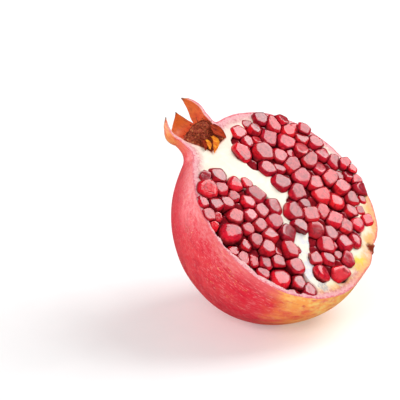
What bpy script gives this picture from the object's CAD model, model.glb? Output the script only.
import math
import random

import bmesh
import bpy
import numpy as np
from mathutils import Matrix, Vector, noise
from mathutils.geometry import delaunay_2d_cdt


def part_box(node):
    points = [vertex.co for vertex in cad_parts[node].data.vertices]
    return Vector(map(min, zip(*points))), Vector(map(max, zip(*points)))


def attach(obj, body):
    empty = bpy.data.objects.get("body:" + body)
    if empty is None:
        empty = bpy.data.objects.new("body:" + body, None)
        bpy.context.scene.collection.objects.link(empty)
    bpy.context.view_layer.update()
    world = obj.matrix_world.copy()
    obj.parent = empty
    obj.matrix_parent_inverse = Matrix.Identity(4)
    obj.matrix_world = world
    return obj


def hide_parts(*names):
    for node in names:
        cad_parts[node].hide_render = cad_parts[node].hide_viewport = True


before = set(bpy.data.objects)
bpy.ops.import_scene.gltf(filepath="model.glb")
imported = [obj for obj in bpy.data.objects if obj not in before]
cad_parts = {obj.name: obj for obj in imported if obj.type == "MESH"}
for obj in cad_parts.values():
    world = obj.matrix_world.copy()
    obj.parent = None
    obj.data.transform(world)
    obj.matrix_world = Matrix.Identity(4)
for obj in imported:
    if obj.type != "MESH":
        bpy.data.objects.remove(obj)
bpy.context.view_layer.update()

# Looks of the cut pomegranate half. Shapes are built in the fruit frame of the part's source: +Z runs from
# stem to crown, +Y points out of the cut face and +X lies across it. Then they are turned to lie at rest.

# Body of the fruit, in metres, as in the part's source
BODY_RADIUS = 0.0519
BODY_HALF_HEIGHT = 0.0483
FACE_BEYOND_CENTRE = 0.0054
CROWN_POLE = np.array((-0.13, 0.112, 0.0))
STEM_POLE = np.array((-0.125, 0.085, 0.0))
LOBES = 6
LOBE_DEPTH = 0.01
LOBE_TURN = math.radians(20)
SWELL = 0.4
FULL_SIDE = np.array((0.62, -0.57, -0.54))
FULLNESS = 0.03
SHOULDER_ANGLE = math.radians(19.5)
SCAR_EDGE_ANGLE = 0.075
SCAR_RADIUS = 0.0026
SCAR_HEIGHT = 0.0016
PIT_RADIUS = 0.0044
PIT_DEPTH = 0.0012
PIT_ROUGHNESS = 0.0006
WAVE_SIZE = 0.017
WAVE_HEIGHT = 0.00035
RIPPLE_SIZE = 0.0042
RIPPLE_HEIGHT = np.array((0.00045, 0.00045, 0.0003))
GREY_FLAP = (0.0338, 0.0, -0.0294)
GREY_FLAP_RADIUS = 0.0034
YELLOW_PATCH = (0.0076, 0.0, -0.043)
YELLOW_PATCH_RADIUS = 0.0062
DIMPLE_DEPTH = 0.0024
DIMPLE_ANGLE = 0.16
DENT_SIDE = np.array((0.26, 0.12, -0.958))
DENT_DEPTH = 0.0017
DENT_SPREAD = 0.03

# Calyx tube and its sepals, each as (turn of its middle, height and radius of its tip, how far the tip turns)
CALYX_LEAN = math.radians(12)
RIM_HEIGHT = 0.006
RIM_RADIUS = 0.0132
CALYX_DEPTH = 0.8
NECK_PULL = 0.0125
SEPALS = np.array((
    (-8, 0.0175, 0.007, 0),
    (-106, 0.0168, 0.0074, -28),
    (-174, 0.0188, 0.0112, 0),
    (-238, 0.018, 0.01, 0),
    (-300, 0.018, 0.01, 0),
))
SEPAL_BULGE = 0.0016
SEPAL_TIP_WALL = 0.0008
RIM_WALL = 0.002
THROAT_DEPTH = 0.008
THROAT_RADIUS = 0.007
THROAT_SHIFT = -0.002

# Seed chambers: outlines on the cut face, as (across, along) the fruit in millimetres
RIGHT_CHAMBER = [
    (-10, 32.5), (-21, 36), (-33, 32), (-42, 24), (-46.5, 12), (-47, 0), (-45, -12), (-40, -23),
    (-32, -31.5), (-20, -37), (-6, -38), (8, -38), (21, -35.5), (29, -29.5), (28, -23), (19, -18.5),
    (11.5, -14), (11, -6), (8, 0), (0, -0.5), (-4, 6), (-4.5, 16), (-7, 25),
]
LEFT_CHAMBER = [
    (18, 39.5), (10, 37), (6, 31.5), (4.5, 24), (4.5, 14), (6.5, 5), (13, -1.5), (17.5, -9), (25, -14.5),
    (33.5, -18.5), (37, -25.5), (42, -25.5), (47, -16), (49.5, -6), (49.5, 4), (48, 13), (44, 22), (37, 31),
    (28, 37.5),
]
OUTLINE_STEPS = 4
CHAMBER_SHRINK = 0.0044
SOCKET_SHARE = 0.595
SOCKET_MERGE = 1.8
SOCKET_REACH = 0.004
NEAR_RIM_GROW = 0.0001
CHAMBER_DEPTH = 0.006
CHAMBER_WALL = 0.0013
OUTLINE_SLACK = 0.002
NEAR_SIDE = 0.024
NEAR_SIDE_SPREAD = 0.01
RAGGED_SIZE = 0.0034
RAGGED_DEPTH = 0.0013
SOCKET_RADIUS = 0.0032

# Relief of the pith, the lip and the wall of each chamber, and the waves of the rim as (size, shift, height)
PITH_SLOW_SIZE = 0.009
PITH_SLOW_HEIGHT = 0.0003
PITH_FINE_SIZE = 0.0026
PITH_FINE_HEIGHT = 0.0001
PITH_MARGIN = 0.0025
LIP_AWAY = 0.0012
LIP_SPREAD = 0.001
LIP_HEIGHT = 0.00018
WALL_START = 0.0001
WALL_RAGGED = 0.0003
WALL_SPREAD = 0.0012
RIM_WAVES = ((0.0075, 21.0, 0.00034), (0.0024, 5.0, 0.00022))
RIM_WAVE_REACH = 0.0028
RIM_WAVE_BAND = 0.008
RIM_WAVE_LOWEST = 0.0004

# Arils of each chamber: (across, along, width) in millimetres
RIGHT_ARILS = (
    (-38.0, 27.0, 6.0), (-39.8, 20.2, 6.8), (-44.4, 17.8, 5.0), (-41.4, 13.3, 6.1), (-47.0, 9.0, 5.2),
    (-47.8, 6.4, 5.2), (-28.9, 27.9, 6.0), (-21.2, 33.1, 5.9), (-29.8, 31.5, 4.1), (-29.7, 20.0, 6.4),
    (-19.2, 27.8, 5.6), (-23.6, 24.3, 3.9), (-33.0, 11.6, 6.7), (-42.6, 4.9, 5.4), (-45.3, -1.3, 6.5),
    (-9.8, 28.5, 6.9), (-18.2, 20.2, 8.5), (-23.0, 11.5, 6.5), (-34.3, 3.5, 6.4), (-29.4, 7.5, 3.4),
    (-41.7, -7.1, 6.1), (-32.2, -2.0, 6.8), (-42.1, -13.6, 6.1), (-43.5, -18.6, 5.6), (-42.7, -22.2, 3.7),
    (-21.6, 4.7, 7.0), (-11.4, 14.4, 6.9), (-15.7, 9.4, 4.2), (-31.6, -8.3, 6.0), (-19.0, -1.7, 8.1),
    (-7.9, 6.4, 7.3), (-29.9, -14.4, 7.1), (-35.5, -18.5, 4.4), (-39.1, -22.7, 5.4), (-39.3, -26.5, 4.3),
    (-19.7, -8.7, 7.0), (-28.3, -21.1, 6.4), (-35.4, -29.9, 5.7), (-7.8, -3.3, 7.5), (-15.8, -13.5, 7.4),
    (-26.8, -27.9, 6.4), (-4.8, -7.6, 5.0), (-17.9, -20.8, 7.4), (-30.4, -32.7, 3.4), (4.8, -4.2, 7.7),
    (-0.8, -11.7, 7.0), (-7.1, -17.3, 6.6), (-19.4, -29.7, 5.3), (-22.9, -33.7, 3.7), (-6.4, -23.2, 7.0),
    (-19.5, -38.3, 4.7), (-14.0, -34.8, 6.5), (-7.0, -29.4, 5.7), (10.0, -9.0, 6.3), (6.5, -17.2, 6.5),
    (2.4, -24.2, 5.9), (-2.7, -36.3, 6.3), (3.3, -31.6, 6.2), (11.4, -23.9, 6.5), (22.4, -21.2, 5.3),
    (17.4, -27.1, 5.4), (11.4, -31.1, 3.4), (11.0, -35.4, 5.5), (28.3, -26.4, 7.5), (22.0, -34.8, 7.2),
    (7.3, -27.7, 2.7),
)
LEFT_ARILS = (
    (17.0, 38.8, 4.6), (11.6, 33.8, 6.4), (23.3, 35.2, 7.4), (17.5, 29.9, 5.5), (9.5, 25.3, 6.5),
    (4.6, 20.4, 4.2), (8.3, 14.9, 6.5), (31.2, 34.7, 4.6), (28.3, 29.3, 5.0), (23.3, 24.9, 5.5),
    (17.0, 23.5, 4.2), (15.4, 16.7, 5.4), (35.2, 29.8, 5.3), (33.3, 26.4, 4.0), (27.5, 19.4, 6.3),
    (21.3, 13.1, 5.7), (14.9, 9.1, 5.8), (9.1, 4.9, 6.3), (16.8, 2.3, 6.8), (23.5, 7.6, 5.4),
    (29.7, 12.0, 4.7), (37.2, 17.9, 9.3), (25.1, 1.7, 6.7), (19.1, -5.3, 6.8), (33.0, 6.3, 5.1),
    (37.8, 9.5, 4.1), (33.4, 0.4, 6.5), (30.7, -4.9, 3.3), (27.2, -9.4, 6.7), (23.0, -12.3, 3.4),
    (44.4, 7.7, 5.6), (42.1, 3.4, 4.5), (39.8, -2.2, 5.6), (36.2, -6.2, 5.1), (32.7, -14.3, 6.4),
    (41.9, -10.5, 9.6), (39.2, -18.7, 6.0), (45.1, -2.8, 4.6), (39.6, -24.4, 6.3), (44.3, -19.5, 3.8),
    (38.2, 26.0, 4.1), (43.2, 13.1, 4.0),
)
# Rows of those tables that stand higher, by so many millimetres, that glow scarlet, and that are smooth drops
RIGHT_RISES = {2: 2.2, 5: 2.2, 23: 2.2, 24: 2.8, 34: 0.5, 37: 1.0}
LEFT_RISES = {}
RIGHT_GLOWING = (1, 3, 4, 9, 12, 23, 29, 31, 34, 39, 42, 46, 49, 50, 51, 56, 62, 64)
LEFT_GLOWING = (2, 4, 13, 21, 35, 40)
RIGHT_DROPS = (42, 51, 56, 63)
LEFT_DROPS = (4, 21, 35)
ARIL_LEVEL = -0.001
ARIL_GAP = 0.00012
ARIL_SWELL = 1.56
ARIL_ROUND = 1.9
LEVEL_CHANGE = 0.0005
NEAR_RIM_SINK = 0.003
NEAR_RIM_START = 0.03
NEAR_RIM_SPREAD = 0.016
FRUIT_REACH = 0.052
FILLER_STEP = 0.0006
FILLER_LEVEL = -0.0044
FILLER_ROOM = 0.0027
FILLER_GAP = 0.0018
FILLER_WIDTHS = (0.0034, 0.0062)
FILLER_OVERLAP = 0.0012
FILLER_CHANGE = 0.0006
FILLER_SHADE = 0.6
GLOWING_LEAN = math.radians(6.5)
GLOWING_TONE = 0.34
ARIL_ROOT = 0.0046
ARIL_COLUMNS = 34
ARIL_LEANS = (0, 5, 10, 16, 22, 28, 34, 40, 46, 52, 58, 64, 70, 76, 83, 91, 101, 114, 135, 180)
GEM_SHARPNESS = 20
DROP_SHARPNESS = 6
ARIL_SHADES = (0.62, 1.22)

# Facets of an aril: how far they lean from the top, in degrees, how far out they stand, and their tones
NEIGHBOUR_REACH = 0.002
LEAST_REACH = 0.0012
TOP_REACH = 0.0036
TOP_LEANS = (0, 13)
TOP_TONES = (0.24, 0.46)
TOP_MILK = (0.0, 0.16)
FILLER_LEANS = (24, 34)
SHOULDER_LEANS = (44, 66)
SHOULDER_SHARES = (0.56, 0.88)
BRIGHT_TONES = (0.85, 1.0)
SIDE_FACETS = 7
SIDE_LEANS = (84, 98)
UNDER_LEAN = math.radians(128)

# Dry threads in the calyx
THREADS = 230
THREAD_STEPS = 9
THREAD_RADIUS = 0.00016
THREAD_LENGTH = 0.0055
THREAD_SPREAD = 0.88
THREAD_STARTS = (-0.006, 0.0045)
CRUMB_RADIUS = 0.00034
TUFT_TOP = 0.0105
TUFT_GAP = 0.0002
TUFT_SINK = 0.0004
LUMP_SIZE = 0.0016
LUMP_HEIGHT = 0.0004
TUFT_DENTS = ((0.0017, 11.0, 0.0012), (0.0006, 3.0, 0.0006))

# Petals at the bottom of the throat: path of (across, out, along, half width) in the crown frame in mm, the
# way its width lies as (across, along), and how much it curls
CURLED = ((0.75, 0.5), 0.5)
SHEETS = (
    (((-9.4, 0.0, 0.6, 1.4), (-8.4, 0.5, -1.6, 2.8), (-6.8, 0.8, -4.0, 3.4), (-7.2, 1.0, -6.4, 1.9),
      (-8.0, 1.0, -8.2, 0.3)), (0.9, 0.35), 0.25),
    (((3.0, 0.1, -1.6, 0.8), (4.4, 0.7, -3.0, 1.3), (6.0, 0.8, -4.4, 1.2), (7.2, 0.4, -5.6, 0.2)), *CURLED),
)
CURLS = (
    (((-2.8, 0.2, -3.0, 1.1), (-2.0, 0.9, -5.0, 1.6), (0.0, 1.3, -6.6, 2.0), (2.4, 1.2, -7.9, 1.6),
      (4.6, 0.6, -9.2, 0.2)), *CURLED),
    (((1.2, 0.1, -2.4, 0.7), (2.6, 0.8, -3.8, 1.2), (4.0, 1.0, -5.4, 1.3), (5.0, 0.7, -6.8, 0.15)), *CURLED),
)
RIBBON_STEPS = 22
RIBBON_THICKNESS = 0.0003

# Rows of the skin from the stem scar to the floor of the throat, and columns round it
SKIN_ROWS = (("scar", 3), ("collar", 3), ("body", 150), ("neck", 26), ("sepal", 34), ("edge", 3),
             ("inside", 30), ("wall", 18), ("floor", 4))
SKIN_COLUMNS = 300
FACE_SPACING = 0.0006

# Resting pose, as in the part's source
FACE_TILT = math.radians(41.5)
FACE_HEADING = math.radians(-43.8)
CROWN_SWING = math.radians(-32.8)
FLAT_RADIUS = 0.0145

# Camera
CAMERA_ELEVATION = math.radians(18)
CAMERA_DISTANCE = 0.75
METRES_PER_PIXEL = 0.00045
PICTURE_MIDDLE = 200
BODY_PIXEL = (281.1, 208.6)
LENS = 150
SENSOR = 36

# Lights: name, direction as (right, up, back) from the camera's view, distance, size, power, seen in gloss
KEY_SIDE = (0.61, 0.78, -0.06)
LIGHTS = (
    ("key", KEY_SIDE, 0.8, (0.6, 0.6), 5.8, True),
    ("left_fill", (-0.9, 0.16, -0.34), 0.9, (0.56, 0.6), 4.4, True),
    ("front_fill", (-0.3, 0.25, 1.0), 1.3, (0.9, 0.6), 8.0, False),
)
WORLD_LIGHT = 0.34
WORLD_LIGHT_IN_GLOSS = 0.05
FLOOR_REACH = 1.6
FLOOR_GLOW = (0.22, 0.9, 0.24, 0.74)

# Colours of the skin and calyx, of the pith, and of the arils and the calyx's inside
CRIMSON = (0.77, 0.009, 0.034)
CORAL = (0.81, 0.046, 0.06)
DEEP_RED = (0.6, 0.004, 0.026)
PALE_PINK = (0.94, 0.34, 0.34)
PALE_CORAL = (0.9, 0.2, 0.2)
FROST = (0.9, 0.34, 0.36)
ORANGE = (0.99, 0.38, 0.072)
STRAW = (0.97, 0.66, 0.2)
NECK_ORANGE = (0.86, 0.16, 0.075)
SEPAL_COLOURS = ((0.88, 0.3, 0.085), (0.78, 0.12, 0.045))
SEPAL_PALE = (0.94, 0.66, 0.44)
TUBE_COLOURS = ((0.88, 0.125, 0.026), (0.78, 0.062, 0.018))
TUBE_GOLD = (0.84, 0.24, 0.03)
TUBE_BROWN = (0.48, 0.05, 0.018)
BROWN = (0.1, 0.028, 0.012)
SCAR_BROWN = (0.2, 0.026, 0.012)
CREAM = (0.93, 0.89, 0.76)
WARM_CREAM = (0.9, 0.82, 0.68)
CROWN_CREAM = (0.92, 0.78, 0.62)
CROWN_PINK = (0.78, 0.27, 0.36)
RIPE_COLOURS = ((0.86, 0.56, 0.06), (0.84, 0.34, 0.07))
YELLOW = (0.84, 0.62, 0.02)
BLUSH_COLOURS = ((0.66, 0.18, 0.2), (0.52, 0.085, 0.12))
BAND_COLOURS = ((0.84, 0.42, 0.45), (0.84, 0.4, 0.17))
EDGE_COLOURS = ((0.7, 0.11, 0.15), (0.72, 0.14, 0.11))
THROAT_EDGE = (0.62, 0.22, 0.13)
MEMBRANE = (0.66, 0.66, 0.76)
GREY = (0.36, 0.37, 0.4)
SOCKET_PINK = (0.8, 0.3, 0.3)
WINE = (0.16, 0.006, 0.014)
MILKY_RED = np.array((0.66, 0.16, 0.2))
PINK_RED = np.array((0.52, 0.01, 0.06))
ARIL_CLOUD = (0.78, 0.05, 0.06)
ARIL_STREAK = (0.1, 0.002, 0.008)
ARIL_DEPTHS = (0.14, 0.002, 0.008)
STAMEN_COLOURS = ((0.15, 0.02, 0.01), (0.46, 0.07, 0.028))
STAMEN_GOLD = (0.62, 0.26, 0.085)
SHEET_COLOURS = ((0.46, 0.046, 0.01), (0.16, 0.012, 0.005))
CURL_COLOURS = ((0.9, 0.37, 0.03), (0.62, 0.1, 0.012))

# Tones of an aril's facets from the darkest to the brightest, and their colours
TONE_STOPS = (0.0, 0.35, 0.7, 1.0)
TONE_COLOURS = np.array((
    (0.075, 0.0008, 0.005), (0.48, 0.002, 0.014), (0.86, 0.004, 0.016), (0.96, 0.012, 0.018),
))
FLOOR_GREYS = ((0.78, 0.78, 0.78), (0.8, 0.8, 0.8))


def mix(a, b, t):
    return a + (b - a) * t


def smooth(t):
    t = np.clip(t, 0.0, 1.0)
    return t * t * (3 - 2 * t)


def unit(v):
    return v / np.linalg.norm(v, axis=-1, keepdims=True)


def noise_at(points, size, shift=0.0):
    """Smooth noise from about -1 to 1 at each point, with bumps of about this size."""
    offset = Vector((shift, 0.5 * shift, 0))
    return np.array([noise.noise(Vector(p) / size + offset) for p in points])


def noise_vectors(points, size, shift=0.0):
    """Three smooth noises at each point. The library's own vector noise would start from the clock."""
    return np.stack([noise_at(points, size, shift + aside) for aside in (0, 40, 80)], axis=-1)


# Skin

def body_direction(polar, turn):
    """Unit vectors from the body's centre, with both poles drawn off to where crown and scar sit."""
    d = np.stack((np.sin(polar) * np.cos(turn), np.sin(polar) * np.sin(turn), np.cos(polar)), axis=-1)
    pole = np.where(d[..., 2:] > 0, CROWN_POLE, STEM_POLE)
    return unit(d + pole * d[..., 2:] ** 2)


def body_point(polar, turn):
    polar, turn = np.broadcast_arrays(np.asarray(polar, float), np.asarray(turn, float))
    d = body_direction(polar, turn)
    x, y, z = d[..., 0], d[..., 1], d[..., 2]
    girth = np.hypot(x, y)
    radius = 1 / np.hypot(girth / BODY_RADIUS, z / BODY_HALF_HEIGHT)
    lobe = np.cos(LOBES * np.arctan2(y, x) + LOBE_TURN)
    swell = SWELL * np.cos(3 * z + 2 * x - 1)
    radius = radius * (1 + LOBE_DEPTH * girth ** 2 * (lobe + swell)
                       + FULLNESS * np.clip(d @ FULL_SIDE, 0, None) ** 3)
    radius = radius - DIMPLE_DEPTH * np.exp(-(((math.pi - polar) / DIMPLE_ANGLE) ** 2))
    radius = radius - DENT_DEPTH * np.exp((d @ DENT_SIDE - 1) / DENT_SPREAD)
    return d * radius[..., None] - np.array((0, FACE_BEYOND_CENTRE, 0))


SCAR_MIDDLE = body_point(math.pi, 0)
CROWN_MIDDLE = body_point(0, 0)
CROWN_ACROSS = np.array((math.cos(CALYX_LEAN), 0, math.sin(CALYX_LEAN)))
CROWN_OUT = np.array((0.0, 1.0, 0.0))
CROWN_ALONG = np.cross(CROWN_ACROSS, CROWN_OUT)


def crown_point(turn, height, radius):
    turn, height, radius = np.broadcast_arrays(*(np.asarray(v, float) for v in (turn, height, radius)))
    aside = CROWN_ACROSS * np.cos(turn)[..., None] + CROWN_OUT * CALYX_DEPTH * np.sin(turn)[..., None]
    return CROWN_MIDDLE + CROWN_ALONG * height[..., None] + aside * radius[..., None]


def sepal_at(turn):
    """For each turn the nearest sepal's tip, and the share of its length that stands there."""
    turn = np.asarray(turn, float)
    middles = np.radians(SEPALS[:, 0])
    aside = np.abs((turn[..., None] - middles + math.pi) % (2 * math.pi) - math.pi)
    order = np.argsort(aside, axis=-1)
    first = np.take_along_axis(aside, order, -1)[..., 0]
    second = np.take_along_axis(aside, order, -1)[..., 1]
    share = np.clip(1 - 2 * first / (first + second), 0, None)
    return SEPALS[order[..., 0]], 0.06 + 0.94 * share ** 0.68


def sepal_point(turn, rise, inside):
    tip, share = sepal_at(turn)
    reach = rise * share
    radius = mix(RIM_RADIUS, tip[..., 2], reach ** 2) + SEPAL_BULGE * np.sin(math.pi * reach)
    wall = mix(RIM_WALL, SEPAL_TIP_WALL, reach)
    height = mix(RIM_HEIGHT, tip[..., 1], reach)
    return crown_point(turn + np.radians(tip[..., 3]) * reach ** 2, height, radius - wall * inside)


def neck_point(turn, rise):
    start = body_point(SHOULDER_ANGLE, turn)
    leave = unit(start - body_point(SHOULDER_ANGLE * 1.1, turn)) * NECK_PULL
    end = sepal_point(turn, 0, 0)
    arrive = CROWN_ALONG * NECK_PULL
    fall = 1 - rise
    return mix(start, end, smooth(rise)) + leave * (rise * fall ** 2) - arrive * (rise ** 2 * fall)


def throat_point(turn, drop, inset=0.0):
    radius = mix(RIM_RADIUS - RIM_WALL, THROAT_RADIUS, smooth(drop)) - inset
    shift = CROWN_ACROSS * THROAT_SHIFT * smooth(drop)
    return crown_point(turn, mix(RIM_HEIGHT, -THROAT_DEPTH, drop), radius) + shift


def scar_point(turn, radius, height):
    edge = body_direction(np.array(math.pi), np.array(0.0))
    middle = body_point(math.pi, 0) + edge * height
    side = np.array((1.0, 0, 0))
    side = unit(side - edge * (side @ edge))
    return middle + (np.outer(np.cos(turn), side) - np.outer(np.sin(turn), np.cross(edge, side))) * radius


def skin_ring(section, t, turn):
    """One ring of points of the fruit's outer surface: t runs from 0 to 1 along each section."""
    if section == "scar":
        return scar_point(turn, SCAR_RADIUS * t, SCAR_HEIGHT)
    if section == "collar":
        return mix(scar_point(turn, SCAR_RADIUS, SCAR_HEIGHT), body_point(math.pi - SCAR_EDGE_ANGLE, turn), t)
    if section == "body":
        return body_point(mix(math.pi - SCAR_EDGE_ANGLE, SHOULDER_ANGLE, t), turn)
    if section == "neck":
        return neck_point(turn, t)
    if section == "sepal":
        return sepal_point(turn, t, 0)
    if section == "edge":
        return sepal_point(turn, 1, t)
    if section == "inside":
        return sepal_point(turn, 1 - t, 1)
    if section == "wall":
        return throat_point(turn, t)
    return mix(throat_point(turn, 1), throat_point(turn, 1, THROAT_RADIUS), t)


def skin_zone(section, t, turn):
    """Place along the calyx (-1 on the body, 0 at the rim, 1 at a sepal's tip) and how far inside it is."""
    share = sepal_at(turn)[1]
    up = {"neck": t - 1, "sepal": t * share, "edge": share, "inside": (1 - t) * share, "wall": 0, "floor": 0}
    inner = {"edge": t, "inside": 1.0, "wall": 1.0, "floor": 1.0}
    zone = np.zeros((len(turn), 3))
    zone[:, 0] = up.get(section, -1.0)
    zone[:, 1] = inner.get(section, 0.0)
    return zone


def skin_grid():
    """Rings of the whole fruit's surface with their zones, before it is cut."""
    turn = 2 * math.pi * np.arange(SKIN_COLUMNS) / SKIN_COLUMNS
    stations = [("scar", 0.0)]
    for section, rows in SKIN_ROWS:
        stations += [(section, (row + 1) / rows) for row in range(rows)]
    rings = np.array([skin_ring(section, t, turn) for section, t in stations])
    zones = np.array([skin_zone(section, t, turn) for section, t in stations])
    return rings, zones


def roughen_skin(rings, zones):
    """Slow waves in the skin, and finer ripples in the sepals, which move both of their sides alike."""
    flat = rings.reshape(-1, 3)
    zone = zones.reshape(-1, 3)
    waves = noise_vectors(flat, WAVE_SIZE)
    ripples = noise_vectors(flat, RIPPLE_SIZE, 9.0)
    sepal = np.clip(zone[:, :1] + 0.25, 0, 1)
    moved = flat + waves * WAVE_HEIGHT * (1 - sepal) + ripples * RIPPLE_HEIGHT * sepal
    pit = np.clip(1 - np.linalg.norm(flat - SCAR_MIDDLE, axis=1, keepdims=True) / PIT_RADIUS, 0, 1)
    moved += (ripples * PIT_ROUGHNESS - unit(SCAR_MIDDLE) * PIT_DEPTH) * smooth(pit * 1.6)
    return moved.reshape(rings.shape)


def grid_faces(rows, columns):
    """Quads of a closed grid whose first and last rings are single points, after merging each pole."""
    def at(row, column):
        if row == 0:
            return 0
        if row == rows - 1:
            return 1 + (rows - 2) * columns
        return 1 + (row - 1) * columns + column % columns

    faces = []
    for row in range(rows - 1):
        for column in range(columns):
            corners = [at(row, column), at(row, column + 1), at(row + 1, column + 1), at(row + 1, column)]
            faces.append(list(dict.fromkeys(corners)))
    return faces


def merge_poles(grid):
    return np.concatenate((grid[0, :1], grid[1:-1].reshape(-1, grid.shape[-1]), grid[-1, :1]))


# Outlines on the cut face

def chamber_outline(points):
    knots = np.array(points) / 1000
    curve = []
    for i in range(len(knots)):
        a, b, c, d = (knots[(i + k) % len(knots)] for k in (-1, 0, 1, 2))
        for step in range(OUTLINE_STEPS):
            t = step / OUTLINE_STEPS
            bend = (2 * a - 5 * b + 4 * c - d) * t ** 2 + (3 * b - a - 3 * c + d) * t ** 3
            curve.append(b + ((c - a) * t + bend) / 2)
    return np.array(curve)


def edge_distance(points, starts, ends):
    """Distance from each point to the nearest of the edges, and whether the edges enclose it."""
    nearest = np.empty(len(points))
    enclosed = np.empty(len(points), bool)
    span = ends - starts
    length = np.maximum((span ** 2).sum(axis=1), 1e-18)
    for low in range(0, len(points), 1500):
        p = points[low:low + 1500, None, :]
        t = np.clip(((p - starts) * span).sum(axis=2) / length, 0, 1)
        nearest[low:low + 1500] = np.linalg.norm(p - starts - span * t[..., None], axis=2).min(axis=1)
        x, y = p[..., 0], p[..., 1]
        crossing = (starts[:, 1] > y) != (ends[:, 1] > y)
        rise = np.where(span[:, 1] == 0, 1e-18, span[:, 1])
        left = x < span[:, 0] * (y - starts[:, 1]) / rise + starts[:, 0]
        enclosed[low:low + 1500] = (crossing & left).sum(axis=1) % 2 == 1
    return nearest, enclosed


def depth_inside(points, outline):
    """Signed distance to the outline, positive inside."""
    nearest, enclosed = edge_distance(points, np.roll(outline, 1, axis=0), outline)
    return np.where(enclosed, nearest, -nearest)


# Arils

class Aril:
    def __init__(self, place, width, level, kinds, draw):
        self.width = width
        self.middle = np.array((place[0], level, place[1]))
        self.filler, self.glowing, self.drop = kinds
        self.turn = draw.uniform(0, 2 * math.pi)
        self.pink = draw.uniform(0, 0.6)


def sink_at(across):
    """How far the arils near the rim of the left chamber lie below the others."""
    return NEAR_RIM_SINK * float(smooth((across - NEAR_RIM_START) / NEAR_RIM_SPREAD))


def place_arils(bed, outline, seed):
    """The visible arils of one chamber, and smaller, deeper ones that fill the gaps between them."""
    table, rises, glowing, drops = bed
    draw = random.Random(seed)
    arils = []
    for row, (across, along, width) in enumerate(table):
        level = ARIL_LEVEL + rises.get(row, 0) / 1000 + draw.uniform(-1, 1) * LEVEL_CHANGE
        level -= sink_at(across / 1000)
        kinds = (False, row in glowing, row in drops)
        arils.append(Aril((across / 1000, along / 1000), width / 1000, level, kinds, draw))
    steps = np.arange(-FRUIT_REACH, FRUIT_REACH, FILLER_STEP)
    spots = np.array([(x, z) for x in steps for z in steps])
    room = depth_inside(spots, outline)
    spots = spots[room > FILLER_ROOM]
    gap = np.full(len(spots), 1.0)
    for aril in arils:
        reach = np.linalg.norm(spots - aril.middle[[0, 2]], axis=1) - aril.width / 2
        gap = np.minimum(gap, reach)
    while gap.max() > FILLER_GAP:
        best = int(gap.argmax())
        width = min(FILLER_WIDTHS[1], max(FILLER_WIDTHS[0], 2 * gap[best] + FILLER_OVERLAP))
        level = FILLER_LEVEL - sink_at(spots[best][0]) + draw.uniform(-1, 1) * FILLER_CHANGE
        arils.append(Aril(spots[best], width, level, (True, False, False), draw))
        gap = np.minimum(gap, np.linalg.norm(spots - spots[best], axis=1) - width / 2)
    return arils


def tilted(lean, turn):
    """Unit vectors leaning away from the cut face's normal."""
    lean, turn = np.broadcast_arrays(np.asarray(lean, float), np.asarray(turn, float))
    return np.stack((np.sin(lean) * np.cos(turn), np.cos(lean), np.sin(lean) * np.sin(turn)), axis=-1)


def aril_planes(aril, arils, outline, draw):
    """Flats that bound one aril, as (outward direction, distance, tone, share of milky red)."""
    planes = []
    for other in arils:
        gap = other.middle - aril.middle
        distance = np.linalg.norm(gap)
        if 0 < distance < 0.55 * (aril.width + other.width) + NEIGHBOUR_REACH:
            share = aril.width / (aril.width + other.width)
            reach = max(LEAST_REACH, distance * share - ARIL_GAP / 2)
            planes.append((gap / distance, reach, draw.uniform(0.0, 0.2), 0))
    flat = aril.middle[[0, 2]]
    along = np.roll(outline, -1, axis=0) - np.roll(outline, 1, axis=0)
    normals = unit(np.stack((along[:, 1], -along[:, 0]), axis=-1))
    for edge, normal in zip(outline, normals):
        reach = (edge - flat) @ normal + OUTLINE_SLACK
        if reach > 0 and np.linalg.norm(edge - flat) < 1.3 * reach and reach < 0.8 * aril.width:
            planes.append((np.array((normal[0], 0, normal[1])), max(reach, 0.46 * aril.width), 0.1, 0))
    half = aril.width / 2 * ARIL_SWELL
    top = min(TOP_REACH, aril.width / 2 * draw.uniform(0.9, 1.02))
    away = aril.turn
    lean = math.radians(draw.uniform(*TOP_LEANS))
    if aril.filler:
        away = math.atan2(GLOW_SIDE[2], GLOW_SIDE[0]) + draw.uniform(-0.5, 0.5)
        lean = math.radians(draw.uniform(*FILLER_LEANS))
    tone, milk = draw.uniform(*TOP_TONES), draw.uniform(*TOP_MILK)
    if aril.glowing and not aril.drop:
        away = math.atan2(GLOW_SIDE[2], GLOW_SIDE[0])
        lean = lean / 2 + GLOWING_LEAN
        tone += GLOWING_TONE
    planes.append((tilted(lean, away), top, tone, milk))
    facets = draw.choice((4, 5, 5, 6))
    for side in range(facets):
        lean = math.radians(draw.uniform(*SHOULDER_LEANS))
        around = aril.turn + (side + draw.uniform(-0.25, 0.25)) * 2 * math.pi / facets
        share = draw.uniform(*SHOULDER_SHARES)
        shade = float(tilted(math.pi / 2, around) @ GLOW_SIDE)
        bright = draw.random() < (0.55 + 0.45 * shade if aril.glowing else 0.18 + 0.25 * shade)
        tone = draw.uniform(*BRIGHT_TONES) if bright else 0.4 + 0.24 * shade + draw.uniform(-0.16, 0.16)
        planes.append((tilted(lean, around), top * math.cos(lean) + share * half * math.sin(lean), tone, 0))
    for side in range(SIDE_FACETS):
        lean = math.radians(draw.uniform(*SIDE_LEANS))
        around = aril.turn + (side + draw.uniform(-0.3, 0.3)) * 2 * math.pi / SIDE_FACETS
        planes.append((tilted(lean, around), half * draw.uniform(0.94, 1.06), draw.uniform(0.0, 0.25), 0))
    for side in range(4):
        planes.append((tilted(UNDER_LEAN, side * math.pi / 2), half, 0.0, 0))
    planes.append((np.array((0.0, -1.0, 0.0)), ARIL_ROOT, 0.0, 0))
    return planes


def aril_palette(tone):
    """Colours of an aril from its darkest to its brightest facets."""
    return np.stack([np.interp(tone, TONE_STOPS, TONE_COLOURS[:, i]) for i in range(3)], axis=-1)


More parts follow.
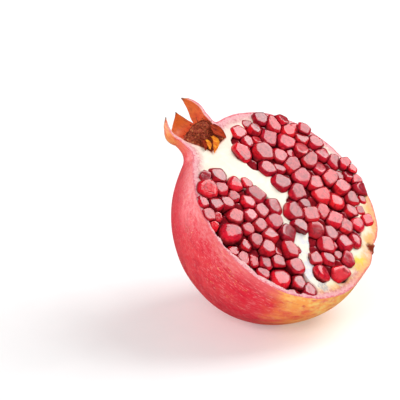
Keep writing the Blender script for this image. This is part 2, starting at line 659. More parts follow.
def aril_bed(name, bed, outline, seed):
    """One mesh of all the arils of a chamber, with the tint of every vertex."""
    arils = place_arils(bed, outline, seed)
    draw = random.Random(seed + 1)
    turns = 2 * math.pi * np.arange(ARIL_COLUMNS) / ARIL_COLUMNS
    grid = tilted(np.radians(ARIL_LEANS)[:, None], turns[None, :])
    directions = merge_poles(grid)
    faces = grid_faces(len(ARIL_LEANS), ARIL_COLUMNS)
    places, tints, polygons = [], [], []
    for aril in arils:
        planes = aril_planes(aril, arils, outline, draw)
        normals, reaches, tones, milk = (np.array(column) for column in zip(*planes))
        sharpness = DROP_SHARPNESS if aril.drop else GEM_SHARPNESS
        press = np.clip(directions @ normals.T, 0, None) / reaches
        weight = press ** sharpness
        total = weight.sum(axis=1) + (2 / (aril.width * ARIL_ROUND)) ** sharpness
        reach = total ** (-1 / sharpness)
        tone = (weight @ tones) / total
        if aril.drop:
            tone = 0.62 + 0.38 * (directions @ GLOW_SIDE)
        place = aril.middle + directions * reach[:, None]
        height = (place[:, 1] - aril.middle[1]) / (aril.width / 2)
        tone = tone * mix(0.05, 1.0, smooth(height * 2.4 - 0.46)) * draw.uniform(*ARIL_SHADES)
        if aril.filler:
            tone = tone * FILLER_SHADE
        pale = ((weight @ milk) / total * (0.2 if aril.filler or aril.drop else 1))[:, None]
        tint = mix(aril_palette(np.clip(tone, 0, 1)), MILKY_RED, pale)
        tint = mix(tint, PINK_RED * (0.2 + tone[:, None]), aril.pink * smooth(height)[:, None])
        start = len(places) * len(directions)
        places.append(place)
        tints.append(tint)
        polygons += [[start + corner for corner in face] for face in faces]
    made = new_piece(name, np.concatenate(places), polygons)
    tint = np.concatenate(tints)
    add_layer(made.data, "tint", "FLOAT_COLOR", np.concatenate((tint, np.ones((len(tint), 1))), axis=1))
    return made, arils


# Pieces

def add_object(name, data):
    made = bpy.data.objects.new(name, data)
    bpy.context.scene.collection.objects.link(made)
    return made


def add_layer(mesh, name, kind, values):
    """Keeps a value of every vertex under a name, for the materials."""
    layer = mesh.attributes.new(name, kind, "POINT")
    layer.data.foreach_set("color" if kind == "FLOAT_COLOR" else "vector", values.ravel())


def add_places(mesh):
    """Keeps every vertex's place in the fruit frame."""
    values = np.empty(len(mesh.vertices) * 3)
    mesh.vertices.foreach_get("co", values)
    add_layer(mesh, "place", "FLOAT_VECTOR", values)


def new_piece(name, places, faces):
    mesh = bpy.data.meshes.new(name)
    mesh.from_pydata([tuple(p) for p in places], [], faces)
    mesh.validate()
    add_places(mesh)
    return add_object(name, mesh)


# Rind

def face_height(flat, rim, chamber):
    """Height of the pith over the cut plane, from the distances to the rim and into the chambers."""
    points = [(x, 0, z) for x, z in flat]
    slow = noise_at(points, PITH_SLOW_SIZE, 3.0)
    fine = noise_at(points, PITH_FINE_SIZE, 7.0)
    inner = smooth(rim / PITH_MARGIN)
    lip = np.exp(-(((chamber + LIP_AWAY) / LIP_SPREAD) ** 2))
    drop = smooth((chamber - WALL_START + WALL_RAGGED * fine) / WALL_SPREAD)
    surface = inner * (PITH_SLOW_HEIGHT * slow + PITH_FINE_HEIGHT * fine + LIP_HEIGHT * lip)
    return surface * (1 - drop) - CHAMBER_DEPTH * drop


def rim_wave(points):
    """The uneven line of the cut skin."""
    return sum(noise_at(points, size, shift) * height for size, shift, height in RIM_WAVES)


def chamber_depths(flat, outlines, arils):
    """Distance into the nearest chamber, whose edge is scalloped by the arils that press on it."""
    room = np.maximum(*(depth_inside(flat, outline) for outline in outlines))
    near = smooth((flat[:, 0] - NEAR_SIDE) / NEAR_SIDE_SPREAD)
    ragged = noise_at([(x, 0, z) for x, z in flat], RAGGED_SIZE, 31.0)
    room = room + (NEAR_RIM_GROW + RAGGED_DEPTH * ragged) * near
    press = np.full(len(flat), 1e-9)
    for aril in arils:
        away = np.linalg.norm(flat - aril.middle[[0, 2]], axis=1) / (aril.width * SOCKET_SHARE)
        press += np.exp(-SOCKET_MERGE * (away ** 2 - 1))
    sockets = np.log(press) * SOCKET_RADIUS / (2 * SOCKET_MERGE)
    return np.maximum(room - CHAMBER_SHRINK * (1 - near), np.minimum(sockets, room + SOCKET_REACH))


def fill_face(bm, outlines, arils):
    """Close the cut face with pith, hollowed out at the chambers. Returns its vertices."""
    layer = bm.verts.layers.float_vector.new("pith")
    zone = bm.verts.layers.float_vector["zone"]
    rim = [v for v in bm.verts if abs(v.co.y) < 1e-7 and v.is_boundary]
    index = {v: i for i, v in enumerate(rim)}
    cut_edges = [e for e in bm.edges if e.is_boundary and all(v in index for v in e.verts)]
    edges = [tuple(index[v] for v in e.verts) for e in cut_edges]
    flat = np.array([(v.co.x, v.co.z) for v in rim])
    starts, ends = flat[[a for a, _ in edges]], flat[[b for _, b in edges]]
    across = np.arange(flat[:, 0].min(), flat[:, 0].max(), FACE_SPACING)
    step = FACE_SPACING * math.sqrt(3) / 2
    along = np.arange(flat[:, 1].min(), flat[:, 1].max(), step)
    grid = np.array([(x + FACE_SPACING / 2 * (j % 2), z) for j, z in enumerate(along) for x in across])
    gap, enclosed = edge_distance(grid, starts, ends)
    grid = grid[enclosed & (gap > 0.5 * FACE_SPACING)]
    everything = [Vector(p) for p in np.concatenate((flat, grid))]
    found, _, triangles, origins, _, _ = delaunay_2d_cdt(everything, edges, [], 1, 1e-8)
    found = np.array([tuple(p) for p in found])
    centres = np.array([found[list(t)].mean(axis=0) for t in triangles])
    kept = edge_distance(centres, starts, ends)[1]
    gap = edge_distance(found, starts, ends)[0]
    throat = np.array([all(rim[i][zone].y > 0.5 for i in edge) for edge in edges])
    from_throat = edge_distance(found, starts[throat], ends[throat])[0]
    from_skin = edge_distance(found, starts[~throat], ends[~throat])[0]
    chamber = np.minimum(chamber_depths(found, outlines, arils), gap - CHAMBER_WALL)
    height = face_height(found, gap, chamber)
    verts = []
    for place, origin, level in zip(found, origins, height):
        known = [i for i in origin if i < len(rim)]
        if known:
            verts.append(rim[known[0]])
        else:
            verts.append(bm.verts.new((place[0], level, place[1])))
    for vert, edge, deep, away in zip(verts, from_skin, chamber, from_throat):
        vert[layer] = (edge * 1000, deep * 1000, away * 1000)
    for triangle, keep in zip(triangles, kept):
        corners = [verts[i] for i in triangle]
        if keep and len(set(corners)) == 3:
            face = bm.faces.new(corners)
            face.material_index = 1
    return set(verts)


def cut(bm, place, normal):
    """Cut away what lies beyond a plane."""
    everything = bm.verts[:] + bm.edges[:] + bm.faces[:]
    bmesh.ops.bisect_plane(bm, geom=everything, plane_co=place, plane_no=normal, clear_outer=True, dist=1e-8)


def make_rind(pose, outlines, arils):
    rings, zones = skin_grid()
    rings = roughen_skin(rings, zones)
    mesh = bpy.data.meshes.new("rind_skin")
    mesh.from_pydata([tuple(p) for p in merge_poles(rings)], [], grid_faces(len(rings), SKIN_COLUMNS))
    add_layer(mesh, "zone", "FLOAT_VECTOR", merge_poles(zones))
    bm = bmesh.new()
    bm.from_mesh(mesh)
    upright = pose.inverted()
    cut(bm, upright.translation, (upright.to_3x3() @ Vector((0, 0, -1))).normalized())
    bmesh.ops.holes_fill(bm, edges=[e for e in bm.edges if e.is_boundary], sides=0)
    cut(bm, (0, 0, 0), (0, 1, 0))
    face_verts = fill_face(bm, outlines, arils)
    near = [v for v in bm.verts if v not in face_verts and v.co.y > -RIM_WAVE_BAND
            and (pose @ v.co).z > RIM_WAVE_LOWEST]
    near += list(face_verts)
    waves = rim_wave([v.co for v in near])
    gaps = bm.verts.layers.float_vector["pith"]
    for vert, wave in zip(near, waves):
        away = vert[gaps].x / 1000 if vert in face_verts else -vert.co.y
        vert.co.y += wave * math.exp(-((away / RIM_WAVE_REACH) ** 2))
    bmesh.ops.recalc_face_normals(bm, faces=bm.faces)
    bm.to_mesh(mesh)
    bm.free()
    add_places(mesh)
    return add_object("rind_skin", mesh)


# Stamens

def loft(loops):
    """Points and faces of a closed body through loops of points, with flat ends."""
    rows, width = loops.shape[:2]
    faces = [list(range(width))[::-1], [(rows - 1) * width + i for i in range(width)]]
    for row in range(rows - 1):
        for i in range(width):
            a, b = row * width + i, row * width + (i + 1) % width
            faces.append([a, b, b + width, a + width])
    return list(loops.reshape(-1, 3)), faces


def tube(path, radii, sides):
    """A closed tube along a path."""
    path = np.array(path)
    along = unit(np.gradient(path, axis=0))
    side = unit(np.cross(along, np.array((0.3, 0.9, 0.2))))
    lift = np.cross(along, side)
    angle = 2 * math.pi * np.arange(sides)[:, None] / sides
    ring = side[:, None] * np.cos(angle) + lift[:, None] * np.sin(angle)
    return loft(path[:, None] + ring * np.array(radii)[:, None, None])


def add_to(places, faces, piece):
    start = len(places)
    places += list(piece[0])
    faces += [[start + corner for corner in face] for face in piece[1]]


def make_stamens():
    """The dry tuft in the calyx: a mound of tangled threads, with crumbs where they end."""
    draw = random.Random(5)
    places, faces = [], []
    add_to(places, faces, tuft_mound())
    for _ in range(THREADS):
        turn = draw.uniform(-math.pi, 0)
        out = math.sqrt(draw.random()) * THREAD_SPREAD
        low = draw.uniform(*THREAD_STARTS)
        wall = mix(THROAT_RADIUS, RIM_RADIUS - RIM_WALL, float(smooth((low + THROAT_DEPTH) / 0.014)))
        place = crown_point(turn, low, out * wall) + CROWN_ACROSS * THROAT_SHIFT * (0.5 - low / 0.012)
        heading = CROWN_ALONG + CROWN_ACROSS * draw.uniform(-1.1, 1.1) + CROWN_OUT * draw.uniform(-0.6, 0.5)
        step = THREAD_LENGTH * draw.uniform(0.5, 1.0) / THREAD_STEPS
        path = []
        for _ in range(THREAD_STEPS):
            path.append(place.copy())
            heading = unit(heading)
            heading += np.array([draw.uniform(-0.55, 0.55) for _ in range(3)])
            place = place + unit(heading) * step
            place[1] = min(place[1], -0.0001)
        radius = THREAD_RADIUS * draw.uniform(0.7, 1.5)
        add_to(places, faces, tube(path, np.linspace(radius, radius * 0.6, THREAD_STEPS), 4))
        if draw.random() < 0.5:
            add_to(places, faces, crumb(path[-1], CRUMB_RADIUS * draw.uniform(0.7, 1.3)))
    return new_piece("stamen_tuft", places, faces)


def crumb(middle, radius):
    grid = tilted(np.radians((0, 60, 120, 180))[:, None], np.radians((0, 72, 144, 216, 288))[None, :])
    return middle + merge_poles(grid) * radius, grid_faces(4, 5)


def tuft_mound():
    """Lumpy half plug that fills the calyx under the threads, cut flush with the face."""
    top, bulge = TUFT_TOP * 0.62, RIM_HEIGHT * 0.2
    heights = np.linspace(-THROAT_DEPTH + 0.0003, top, 18)
    turn = np.linspace(-math.pi, 0, 40)
    rings = []
    for height in heights:
        drop = float(np.clip((RIM_HEIGHT - height) / (RIM_HEIGHT + THROAT_DEPTH), 0, 1))
        radius = mix(RIM_RADIUS - RIM_WALL, THROAT_RADIUS, float(smooth(drop))) - TUFT_GAP
        over = max(0.0, (height - bulge) / (top - bulge))
        radius *= math.sqrt(max(0.002, 1 - over ** 2.4))
        shift = CROWN_ACROSS * THROAT_SHIFT * float(smooth(drop))
        rings.append(crown_point(turn, height, radius) + shift)
    rings = np.array(rings)
    lumps = noise_at(rings.reshape(-1, 3), LUMP_SIZE, 2.0).reshape(rings.shape[:2] + (1,)) * LUMP_HEIGHT
    rings = rings + CROWN_ALONG * lumps
    across = np.linspace(1, -1, 30)[1:-1]
    middle, half = (rings[:, 0] + rings[:, -1]) / 2, (rings[:, -1] - rings[:, 0]) / 2
    front = middle[:, None] + half[:, None] * across[:, None]
    flat = front.reshape(-1, 3)
    dents = sum(depth * np.abs(noise_at(flat, size, shift)) for size, shift, depth in TUFT_DENTS)
    front[..., 1] = -TUFT_SINK - dents.reshape(front.shape[:2])
    return loft(np.concatenate((rings, front), axis=1))


def ribbon(path, aside, curl):
    """A thin curled petal that follows a path in the crown frame."""
    path = np.array(path) / 1000
    t = np.linspace(0, len(path) - 1, RIBBON_STEPS)
    line = np.stack([np.interp(t, np.arange(len(path)), path[:, i]) for i in range(4)], axis=-1)
    for _ in range(3):
        line[1:-1] = (line[:-2] + 2 * line[1:-1] + line[2:]) / 4
    across = np.linspace(-1, 1, 9)
    loop = [(s, 0.5) for s in across] + [(s, -0.5) for s in across[::-1]]
    sideways = CROWN_ACROSS * aside[0] + CROWN_ALONG * aside[1]
    points = []
    for a, out, along, half in line:
        middle = CROWN_MIDDLE + CROWN_ACROSS * a + CROWN_OUT * out + CROWN_ALONG * along
        for s, side in loop:
            lift = CROWN_OUT * (curl * half * s * s + side * RIBBON_THICKNESS)
            points.append(middle + sideways * half * s + lift)
    return loft(np.array(points).reshape(RIBBON_STEPS, len(loop), 3))


def make_ribbons(name, ribbons):
    places, faces = [], []
    for path, aside, curl in ribbons:
        add_to(places, faces, ribbon(path, aside, curl))
    return new_piece(name, places, faces)


# Materials

def feed(tree, value, socket):
    if isinstance(value, bpy.types.NodeSocket):
        tree.links.new(value, socket)
    else:
        socket.default_value = value


def add_node(tree, kind, values, **settings):
    """A new node with these settings and with values for its inputs, by name or by place."""
    node = tree.nodes.new("ShaderNode" + kind)
    for name, value in settings.items():
        setattr(node, name, value)
    for name, value in (values.items() if isinstance(values, dict) else enumerate(values)):
        feed(tree, value, node.inputs[name])
    return node


class Shading:
    """Builds one material's nodes, and keeps the colour that is painted so far."""

    def __init__(self, name):
        self.material = bpy.data.materials.new(name)
        self.material.use_nodes = True
        self.tree = self.material.node_tree
        self.shader = self.tree.nodes["Principled BSDF"]
        self.colour = None

    def node(self, kind, values, **settings):
        return add_node(self.tree, kind, values, **settings)

    def attribute(self, name, output="Vector"):
        return self.node("Attribute", (), attribute_name=name).outputs[output]

    def parts(self, vector):
        return self.node("SeparateXYZ", (vector,)).outputs

    def scaled(self, vector, scale):
        return self.node("Mapping", {"Vector": vector, "Scale": scale}).outputs[0]

    def noise(self, vector, scale, detail=3.0, roughness=0.5, distortion=0.0):
        values = {"Vector": vector, "Scale": scale, "Detail": detail, "Roughness": roughness,
                  "Distortion": distortion}
        return self.node("TexNoise", values).outputs["Fac"]

    def streaks(self, place, stretch, scale, detail, roughness):
        """Noise that is drawn out from stem to crown."""
        return self.noise(self.scaled(place, (1, 1, stretch)), scale, detail, roughness)

    def cells(self, vector, scale):
        return self.node("TexVoronoi", {"Vector": vector, "Scale": scale}).outputs["Distance"]

    def span(self, value, low, high, to_low=0.0, to_high=1.0):
        values = {"Value": value, "From Min": low, "From Max": high, "To Min": to_low, "To Max": to_high}
        return self.node("MapRange", values, interpolation_type="SMOOTHSTEP").outputs[0]

    def maths(self, operation, first, *others):
        """First value joined to each other one in turn."""
        for other in others:
            first = self.node("Math", (first, other), operation=operation).outputs[0]
        return first

    def times(self, *values):
        return self.maths("MULTIPLY", *values)

    def plus(self, *values):
        return self.maths("ADD", *values)

    def swing(self, value, size):
        """Noise from 0 to 1 turned into one that swings about zero."""
        return self.times(self.maths("SUBTRACT", value, 0.5), size)

    def blend(self, factor, *colours):
        a, b = ((*colour, 1) if isinstance(colour, tuple) else colour for colour in colours)
        return self.node("Mix", {0: factor, 6: a, 7: b}, data_type="RGBA").outputs[2]

    def paint(self, share, colour):
        """Lay a colour over what is painted so far."""
        self.colour = self.blend(share, self.colour, colour)

    def bump(self, height, strength, distance):
        return self.node("Bump", {"Strength": strength, "Distance": distance, "Height": height}).outputs[0]

    def shine(self, dull, level):
        """Specular level, down to none where the share of dull is 1."""
        shown = self.times(self.maths("SUBTRACT", 1.0, dull), level)
        feed(self.tree, shown, self.shader.inputs["Specular IOR Level"])

    def finish(self, roughness, normal=None, **plain):
        values = {"Base_Color": self.colour, "Roughness": roughness, **plain}
        if normal is not None:
            values["Normal"] = normal
        for name, value in values.items():
            feed(self.tree, value, self.shader.inputs[name.replace("_", " ")])
        return self.material


def patch_at(s, place, middle, radius, grain):
    """Share of a round patch of skin or pith, with a ragged edge."""
    away = s.node("VectorMath", (place, tuple(middle)), operation="DISTANCE").outputs["Value"]
    return s.span(s.plus(away, s.swing(grain, 0.005)), radius * 0.55, radius * 0.95, 1.0, 0.0)


def skin_material():
    s = Shading("pomegranate_skin")
    place = s.attribute("place")
    x, y, z = s.parts(place)
    up, inner, _ = s.parts(s.attribute("zone"))
    streaked = s.scaled(place, (1, 1, 0.22))
    broad = s.noise(place, 42, 3, 0.55)
    patches = s.noise(streaked, 230, 5, 0.62)
    fine = s.streaks(place, 0.3, 1300, 3, 0.6)
    s.colour = s.blend(s.span(broad, 0.4, 0.64), CRIMSON, CORAL)
    s.paint(s.span(patches, 0.5, 0.66, 0, 0.7), CORAL)
    s.paint(s.span(s.noise(streaked, 130, 5, 0.65, 0.4), 0.5, 0.66, 0, 0.75), DEEP_RED)
    s.paint(s.span(fine, 0.53, 0.68, 0, 0.46), PALE_PINK)
    s.paint(s.span(s.streaks(place, 0.25, 900, 3, 0.6), 0.54, 0.7, 0, 0.5), DEEP_RED)

    # Coral band and frosty streaks under the cut
    below = s.plus(y, s.swing(patches, 0.01))
    s.paint(s.span(below, -0.0075, -0.0005, 0, 0.5), PALE_CORAL)
    frost = s.times(s.span(below, -0.015, -0.001), s.span(z, -0.004, 0.016))
    s.paint(s.times(frost, s.span(s.streaks(place, 0.16, 700, 4, 0.7), 0.42, 0.6, 0.0, 0.42)), FROST)

    # Ripe orange patch towards the stem, and pale flecks and dots
    ripeness = s.plus(s.times(z, -1.0), s.swing(broad, 0.05), s.span(y, -0.03, 0.0, -0.009, 0.004))
    mottled = s.span(s.noise(streaked, 260, 5, 0.65), 0.34, 0.52, 0.2, 1.0)
    s.paint(s.times(s.span(ripeness, 0.006, 0.028), mottled), ORANGE)
    golden = s.span(s.streaks(place, 0.25, 420, 5, 0.65), 0.44, 0.6, 0, 0.85)
    s.paint(s.times(s.span(ripeness, 0.014, 0.034), golden), STRAW)
    flecks = s.span(s.streaks(place, 0.3, 1500, 3, 0.6), 0.58, 0.7, 0, 0.6)
    s.paint(s.times(flecks, s.span(s.noise(streaked, 170, 4, 0.6), 0.5, 0.64)), STRAW)
    dots = s.span(s.cells(place, 2300), 0.12, 0.3, 0.5, 0.0)
    s.paint(s.times(dots, s.span(s.noise(place, 260, 2, 0.5), 0.38, 0.6)), PALE_PINK)

    # Calyx: orange sepals with brown tips, paler on the outside, orange red inside of the tube
    s.paint(s.times(s.span(up, -0.75, -0.15), 0.75), NECK_ORANGE)
    grain = s.streaks(place, 0.3, 420, 4, 0.6)
    s.paint(s.span(up, -0.35, 0.25), s.blend(s.span(grain, 0.38, 0.62), *SEPAL_COLOURS))
    s.paint(s.times(s.span(x, -0.01, -0.02), s.span(up, -0.3, 0.1), 0.75), SEPAL_PALE)
    inside = s.blend(s.span(grain, 0.35, 0.65), *TUBE_COLOURS)
    inside = s.blend(s.span(up, 0.05, 0.55, 0.0, 0.45), inside, TUBE_GOLD)
    inside = s.blend(s.span(fine, 0.48, 0.72, 0, 0.5), inside, TUBE_BROWN)
    s.paint(s.times(inner, 0.95), inside)
    s.paint(s.span(s.plus(up, s.swing(patches, 0.35)), 0.82, 1.02), BROWN)
    scar = patch_at(s, place, SCAR_MIDDLE, PIT_RADIUS, patches)
    s.paint(scar, SCAR_BROWN)
    s.shine(scar, 0.36)
    normal = s.bump(s.plus(s.times(fine, 0.5), s.times(patches, 0.5)), 0.4, 0.00025)
    roughness = s.plus(s.span(s.noise(place, 300, 3, 0.6), 0.3, 0.7, 0.32, 0.46), s.times(scar, 0.5))
    return s.finish(roughness, normal)


def pith_material():
    s = Shading("pomegranate_pith")
    place = s.attribute("place")
    x, _, z = s.parts(place)
    rim, deep, throat = s.parts(s.attribute("pith"))
    veins = s.noise(place, 260, 5, 0.65, 0.8)
    grain = s.noise(place, 1300, 3, 0.65)
    patches = s.noise(place, 230, 5, 0.65, 0.5)
    wander = s.swing(s.noise(place, 160, 4, 0.6), 3.2)
    s.colour = s.blend(s.span(veins, 0.35, 0.7), CREAM, WARM_CREAM)

    # Pink veins at the crown, and ripe yellow near the stem
    s.paint(s.times(s.span(z, 0.018, 0.04), s.span(patches, 0.34, 0.62, 0.15, 0.8)), CROWN_CREAM)
    crown = s.times(s.span(z, 0.024, 0.046), s.span(x, 0.006, -0.006, 0.55, 1.0))
    veined = s.span(s.noise(place, 420, 4, 0.7, 1.0), 0.42, 0.6, 0.45, 1.0)
    s.paint(s.times(crown, s.span(rim, 1.0, 8.0, 1.0, 0.1), veined), CROWN_PINK)
    stem = s.span(s.plus(z, s.times(wander, 0.0016)), -0.014, -0.036)
    ripe = s.span(s.noise(place, 150, 5, 0.65, 0.6), 0.38, 0.58, 0.35, 1.0)
    s.paint(s.times(stem, s.span(rim, 2.0, 9.5, 1.0, 0.12), ripe), s.blend(patches, *RIPE_COLOURS))
    yellow = patch_at(s, place, YELLOW_PATCH, YELLOW_PATCH_RADIUS, veins)
    s.paint(s.times(yellow, s.span(patches, 0.36, 0.56, 0.3, 0.95)), YELLOW)

    # Blush along the skin, with a broken line of its red at the very edge
    by_skin = s.span(throat, 0.2, 1.4, 0.3, 1.0)
    side = s.maths("MAXIMUM", s.span(z, -0.02, -0.005), s.span(x, 0.006, 0.018))
    near_rim = s.times(s.span(s.plus(rim, wander), 1.6, 6.5, 1.0, 0.0), by_skin)
    mottled = s.span(s.noise(place, 640, 4, 0.7, 0.5), 0.4, 0.56, 0.3, 1.0)
    blush = s.blend(s.span(grain, 0.4, 0.6), *BLUSH_COLOURS)
    s.paint(s.times(near_rim, s.span(side, 0.0, 1.0, 0.3, 1.0), mottled), blush)
    ragged = s.plus(rim, s.times(wander, 0.35), s.swing(s.noise(place, 760, 3, 0.7, 0.5), 4.0))
    low = s.times(s.span(z, -0.014, -0.034), s.span(x, 0.026, 0.012))
    s.paint(s.times(s.span(ragged, 1.4, 3.4, 0.75, 0.0), by_skin), s.blend(low, *BAND_COLOURS))
    edge = s.times(s.span(ragged, 0.3, 1.1, 0.9, 0.0), s.span(throat, 0.2, 0.8))
    s.paint(edge, s.blend(low, *EDGE_COLOURS))
    s.paint(s.span(throat, 0.1, 0.9, 0.7, 0.0), THROAT_EDGE)

    # Bluish membrane, grey flap, scar, and the dark walls of the chambers
    membrane = s.times(s.span(z, -0.004, -0.016), s.span(x, 0.002, 0.012), s.span(rim, 6.0, 12.0),
                       s.span(patches, 0.4, 0.6, 0, 0.8))
    s.paint(membrane, MEMBRANE)
    flap = patch_at(s, place, GREY_FLAP, GREY_FLAP_RADIUS, veins)
    s.paint(s.times(flap, s.span(grain, 0.38, 0.62, 0.3, 0.9)), GREY)
    scar = patch_at(s, place, SCAR_MIDDLE, PIT_RADIUS, patches)
    s.paint(scar, SCAR_BROWN)
    s.paint(s.span(deep, -0.3, 0.3, 0.0, 0.45), SOCKET_PINK)
    s.paint(s.span(deep, 0.2, 0.6), WINE)
    s.shine(scar, 0.35)
    return s.finish(0.55, s.bump(s.plus(s.times(veins, 0.5), s.times(grain, 0.5)), 0.45, 0.0004))


def aril_material():
    s = Shading("pomegranate_aril")
    place = s.attribute("place")
    s.colour = s.attribute("tint", "Color")
    s.paint(s.span(s.noise(place, 520, 3, 0.6, 0.6), 0.3, 0.72, 0.0, 0.35), ARIL_CLOUD)
    streak = s.noise(s.scaled(place, (1, 0.4, 1)), 1300, 2, 0.5)
    s.paint(s.span(streak, 0.55, 0.75, 0.0, 0.35), ARIL_STREAK)
    s.paint(s.span(s.noise(place, 340, 3, 0.6, 1.2), 0.5, 0.64, 0.0, 0.46), ARIL_DEPTHS)
    normal = s.bump(s.noise(place, 420, 3, 0.55), 0.22, 0.0004)
    roughness = s.span(s.noise(place, 900, 3, 0.6), 0.35, 0.65, 0.07, 0.2)
    return s.finish(roughness, normal, IOR=1.45, Coat_Weight=0.38, Coat_Roughness=0.05,
                    Subsurface_Weight=0.55, Subsurface_Radius=(1.0, 0.06, 0.09), Subsurface_Scale=0.0022)


def stamen_material():
    s = Shading("dry_stamen")
    place = s.attribute("place")
    grain = s.streaks(place, 0.5, 1500, 4, 0.7)
    s.colour = s.blend(s.span(grain, 0.35, 0.65), *STAMEN_COLOURS)
    s.paint(s.span(s.noise(place, 900, 3, 0.6), 0.56, 0.7, 0, 0.8), STAMEN_GOLD)
    return s.finish(0.75, s.bump(grain, 0.7, 0.0003), Specular_IOR_Level=0.12)


def petal_material(name, light, dark):
    s = Shading(name)
    grain = s.streaks(s.attribute("place"), 0.4, 700, 4, 0.6)
    s.colour = s.blend(s.span(grain, 0.35, 0.68), light, dark)
    return s.finish(0.75, s.bump(grain, 0.4, 0.0002), Specular_IOR_Level=0.08)


# Studio

def camera_axes():
    right = Vector((1, 0, 0))
    up = Vector((0, math.sin(CAMERA_ELEVATION), math.cos(CAMERA_ELEVATION)))
    back = Vector((0, -math.cos(CAMERA_ELEVATION), math.sin(CAMERA_ELEVATION)))
    return right, up, back


def from_view(side):
    """World direction of (right, up, back) as the camera sees them."""
    return Matrix(camera_axes()).transposed() @ Vector(side)


def area_light(target, name, side, distance, size, power, glossy):
    """Soft box that stands off to the given side and faces the target."""
    lamp = bpy.data.lights.new(name, "AREA")
    lamp.shape = "RECTANGLE"
    lamp.size, lamp.size_y = size
    lamp.energy = power
    made = add_object(name, lamp)
    direction = from_view(side).normalized()
    made.location = target + direction * distance
    made.rotation_euler = direction.to_track_quat("Z", "Y").to_euler()
    made.visible_glossy = glossy


def make_studio(centre):
    right, up, back = camera_axes()
    shift = right * (BODY_PIXEL[0] - PICTURE_MIDDLE) - up * (BODY_PIXEL[1] - PICTURE_MIDDLE)
    camera = add_object("camera", bpy.data.cameras.new("camera"))
    camera.data.lens = LENS
    camera.data.sensor_width = SENSOR
    camera.data.clip_start = 0.01
    place = Matrix.Translation(centre - shift * METRES_PER_PIXEL + back * CAMERA_DISTANCE)
    camera.matrix_world = place @ Matrix((right, up, back)).transposed().to_4x4()
    bpy.context.scene.camera = camera

    world = bpy.data.worlds.new("studio")
    bpy.context.scene.world = world
    world.use_nodes = True
    tree = world.node_tree
    background = tree.nodes["Background"].inputs
    background["Color"].default_value = (1, 1, 1, 1)
    ray = add_node(tree, "LightPath", ()).outputs
    in_gloss = {"Value": ray["Is Glossy Ray"], "To Min": WORLD_LIGHT, "To Max": WORLD_LIGHT_IN_GLOSS}
    dimmed = add_node(tree, "MapRange", in_gloss).outputs[0]
    seen = {"Value": ray["Is Camera Ray"], "To Min": dimmed, "To Max": 1.0}
    feed(tree, add_node(tree, "MapRange", seen).outputs[0], background["Strength"])

    for light in LIGHTS:
        area_light(centre, *light)
    bpy.context.scene.view_settings.view_transform = "Standard"

    bm = bmesh.new()
    bmesh.ops.create_grid(bm, x_segments=40, y_segments=40, size=FLOOR_REACH)
    mesh = bpy.data.meshes.new("floor")
    bm.to_mesh(mesh)
    bm.free()
    floor = add_object("floor", mesh)
    s = Shading("pale_floor")
    coords = s.node("TexCoord", ()).outputs["Object"]
    away = s.node("VectorMath", (coords,), operation="LENGTH").outputs["Value"]
    glow = s.span(away, *FLOOR_GLOW)
    s.colour = s.blend(s.span(s.noise(coords, 60, 3, 0.5), 0.3, 0.7), *FLOOR_GREYS)
    floor.data.materials.append(s.finish(0.7, Emission_Color=(1, 1, 1, 1), Emission_Strength=glow))
    floor.visible_glossy = False


# Pose

def resting_turn():
    c, s = math.cos(FACE_HEADING), math.sin(FACE_HEADING)
    face = Vector((math.sin(FACE_TILT) * c, math.sin(FACE_TILT) * s, math.cos(FACE_TILT)))
    uphill = Vector((-math.cos(FACE_TILT) * c, -math.cos(FACE_TILT) * s, math.sin(FACE_TILT)))
    level = Vector((-s, c, 0))
    crown = uphill * math.cos(CROWN_SWING) + level * math.sin(CROWN_SWING)
    return Matrix((face.cross(crown), face, crown)).transposed()


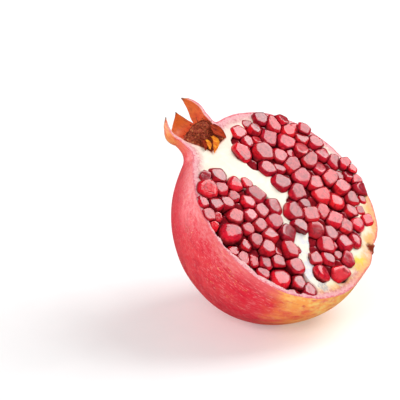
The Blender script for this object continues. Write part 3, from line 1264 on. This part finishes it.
def resting_pose():
    """Matrix from the fruit frame to the world, so that the rind fills the box of its CAD node."""
    turned = resting_turn()
    matrix = np.array(turned)
    rings = skin_grid()[0].reshape(-1, 3)
    polar, turn = np.meshgrid(math.pi * np.arange(91) / 90, 2 * math.pi * np.arange(120) / 120, indexing="ij")
    lowest = (body_point(polar, turn).reshape(-1, 3) @ matrix.T)[:, 2].min()
    rise = -lowest - FLAT_RADIUS ** 2 / (2 * BODY_RADIUS)
    kept = rings[rings[:, 1] <= 0] @ matrix.T
    low, high = (np.array(corner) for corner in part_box("rind"))
    middle = (low + high) / 2 - (kept.min(axis=0) + kept.max(axis=0)) / 2
    return Matrix.Translation((middle[0], middle[1], rise)) @ turned.to_4x4()


def dress(piece, pose, materials, node, sharp):
    """Turn a piece into the resting pose, give it its materials and hang it on the model."""
    piece.data.transform(pose)
    for material in materials:
        piece.data.materials.append(material)
    piece.data.shade_smooth()
    piece.data.set_sharp_from_angle(angle=math.radians(sharp))
    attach(piece, "root")
    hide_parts(node)


pose = resting_pose()
# Side on which the arils glow: the one away from the key light
GLOW_SIDE = unit(np.array(resting_turn()).T @ -np.array(from_view(KEY_SIDE)) * np.array((1, 0, 1)))
right_outline = chamber_outline(RIGHT_CHAMBER)
left_outline = chamber_outline(LEFT_CHAMBER)
right_table = (RIGHT_ARILS, RIGHT_RISES, RIGHT_GLOWING, RIGHT_DROPS)
left_table = (LEFT_ARILS, LEFT_RISES, LEFT_GLOWING, LEFT_DROPS)
right_bed, right_arils = aril_bed("arils_right_beads", right_table, right_outline, 11)
left_bed, left_arils = aril_bed("arils_left_beads", left_table, left_outline, 23)
rind = make_rind(pose, (right_outline, left_outline), right_arils + left_arils)
aril_look = aril_material()
dress(rind, pose, (skin_material(), pith_material()), "rind", 50)
dress(right_bed, pose, (aril_look,), "arils_right", 60)
dress(left_bed, pose, (aril_look,), "arils_left", 60)
dress(make_stamens(), pose, (stamen_material(),), "stamens", 60)
sheets = make_ribbons("throat_sheet", SHEETS)
dress(sheets, pose, (petal_material("throat_sheet", *SHEET_COLOURS),), "stamens", 60)
curls = make_ribbons("throat_curls", CURLS)
dress(curls, pose, (petal_material("throat_curl", *CURL_COLOURS),), "stamens", 60)
make_studio(pose @ Vector((0, -FACE_BEYOND_CENTRE, 0)))
